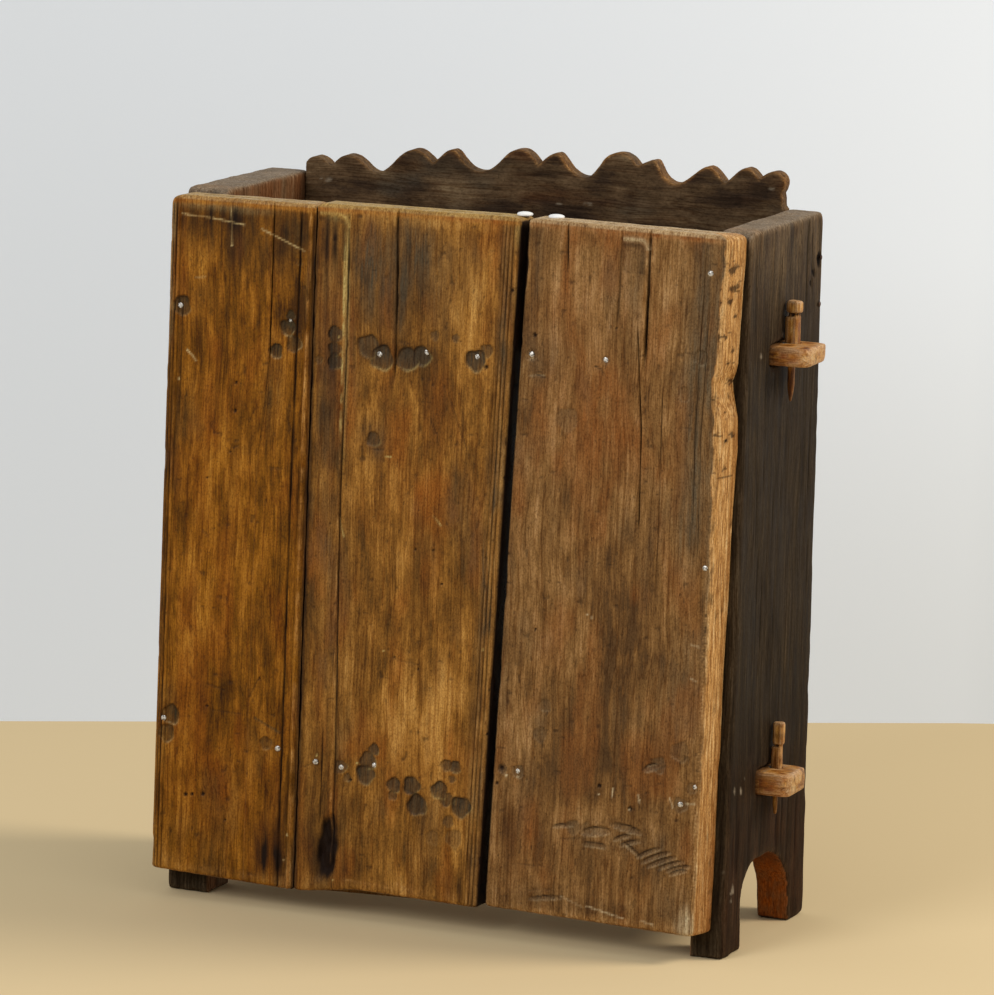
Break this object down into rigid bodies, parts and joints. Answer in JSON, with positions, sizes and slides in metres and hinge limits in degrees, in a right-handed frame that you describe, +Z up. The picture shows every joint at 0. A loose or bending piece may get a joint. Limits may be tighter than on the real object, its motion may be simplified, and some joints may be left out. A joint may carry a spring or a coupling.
{
  "type": "plank cupboard",
  "caption": "Rustic knock-down plank cupboard with wedged through tenons, nailed front boards, arched feet and a scalloped crest board.",
  "frame": {"origin": "on the floor under the middle of the whole depth, midway between the two side panels", "axes": "+X to the right along the nailed front, +Y to the open back, +Z up"},
  "size_m": [0.7816, 0.2984, 0.8705],
  "materials": {
    "dark_panel_wood": "smoke-darkened, dry",
    "shelf_wood": "bare, worn",
    "waxed_board_wood": "waxed, worn",
    "worn_board_wood": "waxed, worn",
    "crest_wood": "smoke-darkened, edges rubbed pale",
    "wedge_wood": "knife cut, waxed",
    "nail_steel": "rubbed bright",
    "nail_iron": "rusted",
    "pad_plastic": "satin"
  },
  "bodies": {
    "cupboard": {"left_side_panel": "dark_panel_wood", "right_side_panel": "dark_panel_wood", "upper_shelf": "shelf_wood", "lower_shelf": "shelf_wood", "front_board_left": "waxed_board_wood", "front_board_middle": "waxed_board_wood", "front_board_right": "worn_board_wood", "crest_board": "crest_wood", "nails_left_board": "nail_steel", "nails_middle_board": "nail_steel", "nails_right_board": "nail_steel", "crest_nails_left": "nail_iron", "crest_nails_right": "nail_iron", "edge_pad_left": "pad_plastic", "edge_pad_right": "pad_plastic"},
    "upper_left_wedge": {"upper_left_wedge": "wedge_wood"},
    "upper_right_wedge": {"upper_right_wedge": "wedge_wood"},
    "lower_left_wedge": {"lower_left_wedge": "wedge_wood"},
    "lower_right_wedge": {"lower_right_wedge": "wedge_wood"}
  },
  "joints": [
    {"name": "upper_left_wedge_lift", "type": "slide", "parent": "cupboard", "child": "upper_left_wedge", "axis": [0, 0, 1], "range_m": [0, 0.072]},
    {"name": "upper_right_wedge_lift", "type": "slide", "parent": "cupboard", "child": "upper_right_wedge", "axis": [0, 0, 1], "range_m": [0, 0.072]},
    {"name": "lower_left_wedge_lift", "type": "slide", "parent": "cupboard", "child": "lower_left_wedge", "axis": [0, 0, 1], "range_m": [0, 0.06]},
    {"name": "lower_right_wedge_lift", "type": "slide", "parent": "cupboard", "child": "lower_right_wedge", "axis": [0, 0, 1], "range_m": [0, 0.06]}
  ]
}
